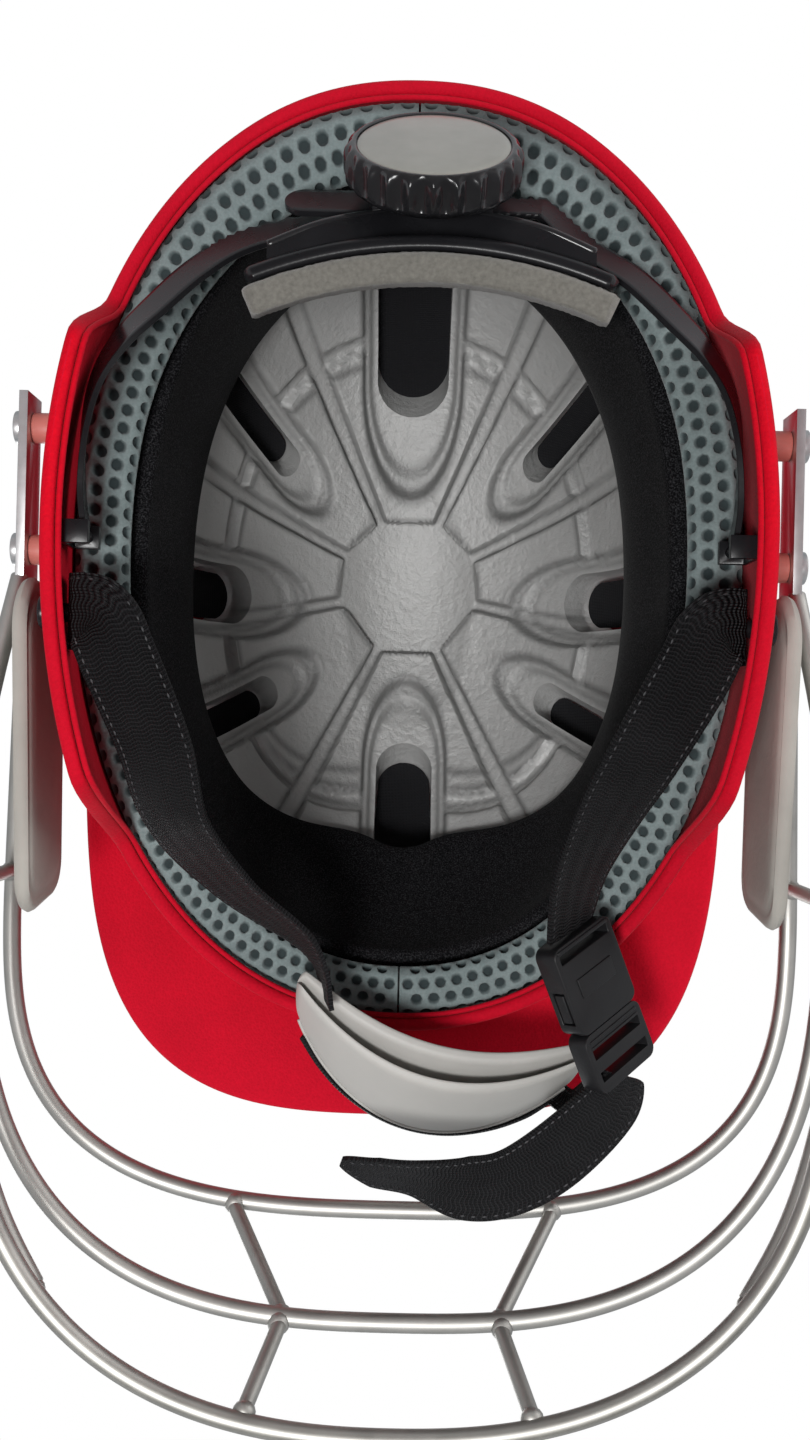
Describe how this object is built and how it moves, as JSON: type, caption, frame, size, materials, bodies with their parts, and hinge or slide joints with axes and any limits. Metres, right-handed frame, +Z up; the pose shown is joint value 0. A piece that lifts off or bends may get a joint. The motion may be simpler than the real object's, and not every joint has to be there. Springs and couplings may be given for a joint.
{
  "type": "batting helmet with face guard",
  "caption": "Fabric-covered batting helmet with peak, steel wire face guard, dial adjuster and buckled chin strap with cup.",
  "frame": {"origin": "on the table plane under the middle of the helmet's overall length and width", "axes": "+Z up to the crown, -Y towards the face guard, +X to the wearer's left"},
  "size_m": [0.2372, 0.368, 0.205],
  "materials": {
    "shell_fabric": "fine red knit over a hard shell",
    "liner_grey": "satin moulded foam liner",
    "black_cloth": "soft black cloth",
    "mesh_fabric": "open blue-grey spacer mesh",
    "steel_wire": "polished steel",
    "brass_insert": "turned",
    "foam_grey": "felt-faced foam",
    "black_plastic": "smooth black",
    "silver_plastic": "silver-grey",
    "webbing_black": "woven webbing",
    "cup_grey": "soft satin"
  },
  "bodies": {
    "helmet": {"shell": "shell_fabric", "peak": "shell_fabric", "edge_binding": "shell_fabric", "liner": "liner_grey", "vent_mesh": "black_cloth", "sweat_band": "black_cloth", "mesh_pad_left": "mesh_fabric", "mesh_pad_right": "mesh_fabric", "guard_top_wire": "steel_wire", "guard_middle_wire": "steel_wire", "guard_bottom_wire": "steel_wire", "guard_uprights": "steel_wire", "guard_rail_left": "steel_wire", "guard_rail_right": "steel_wire", "guard_cheek_wire_left": "steel_wire", "guard_cheek_wire_right": "steel_wire", "guard_side_upright_left": "steel_wire", "guard_side_upright_right": "steel_wire", "guard_plate_left": "steel_wire", "guard_plate_right": "steel_wire", "guard_spacers": "steel_wire", "guard_screws": "steel_wire", "guard_inserts": "brass_insert", "cheek_pad_left": "foam_grey", "cheek_pad_right": "foam_grey", "band_bracket_left": "black_plastic", "band_bracket_right": "black_plastic", "strap_anchor_left": "black_plastic", "strap_anchor_right": "black_plastic"},
    "cradle": {"adjuster_housing": "black_plastic", "nape_pad_carrier": "black_plastic", "nape_pad": "foam_grey"},
    "dial": {"adjuster_dial": "black_plastic", "dial_cap": "silver_plastic", "dial_pinion": "black_plastic"},
    "left_band": {"head_band_left": "black_plastic"},
    "right_band": {"head_band_right": "black_plastic"},
    "chin_strap": {"chin_strap_left": "webbing_black", "chin_strap_right": "webbing_black", "chin_strap_under": "webbing_black", "chin_strap_tail": "webbing_black", "chin_cup": "cup_grey", "buckle_socket": "black_plastic", "buckle_plug": "black_plastic"},
    "left_prong": {"buckle_prong_left": "black_plastic"},
    "right_prong": {"buckle_prong_right": "black_plastic"}
  },
  "joints": [
    {"name": "left_band_swing", "type": "hinge", "parent": "helmet", "child": "left_band", "pos_m": [0.0845, 0.046, 0.012], "axis": [0, 0, 1], "range_deg": [0, 3]},
    {"name": "right_band_swing", "type": "hinge", "parent": "helmet", "child": "right_band", "pos_m": [-0.0845, 0.046, 0.012], "axis": [0, 0, -1], "range_deg": [0, 3]},
    {"name": "cradle_slide", "type": "slide", "parent": "helmet", "child": "cradle", "axis": [0, -1, 0], "range_m": [0, 0.00442]},
    {"name": "dial_turn", "type": "hinge", "parent": "cradle", "child": "dial", "pos_m": [-0.004, 0.152, 0.0175], "axis": [0, 0.7193, -0.6947], "range_deg": [0, 90]},
    {"name": "chin_strap_swing", "type": "hinge", "parent": "helmet", "child": "chin_strap", "pos_m": [0, 0.026, 0.016], "axis": [1, 0, 0], "range_deg": [0, 60]},
    {"name": "left_prong_squeeze", "type": "slide", "parent": "chin_strap", "child": "left_prong", "axis": [-0.6933, 0.3876, 0.6076], "range_m": [0, 0.002], "stiffness_N_per_m": 400},
    {"name": "right_prong_squeeze", "type": "slide", "parent": "chin_strap", "child": "right_prong", "axis": [0.6933, -0.3876, -0.6076], "range_m": [0, 0.002], "stiffness_N_per_m": 400}
  ],
  "couplings": [
    {"joint": "dial_turn", "follows": "cradle_slide", "rad_per_m": 355.03},
    {"joint": "left_band_swing", "follows": "cradle_slide", "rad_per_m": 11.834},
    {"joint": "right_band_swing", "follows": "cradle_slide", "rad_per_m": 11.834}
  ]
}
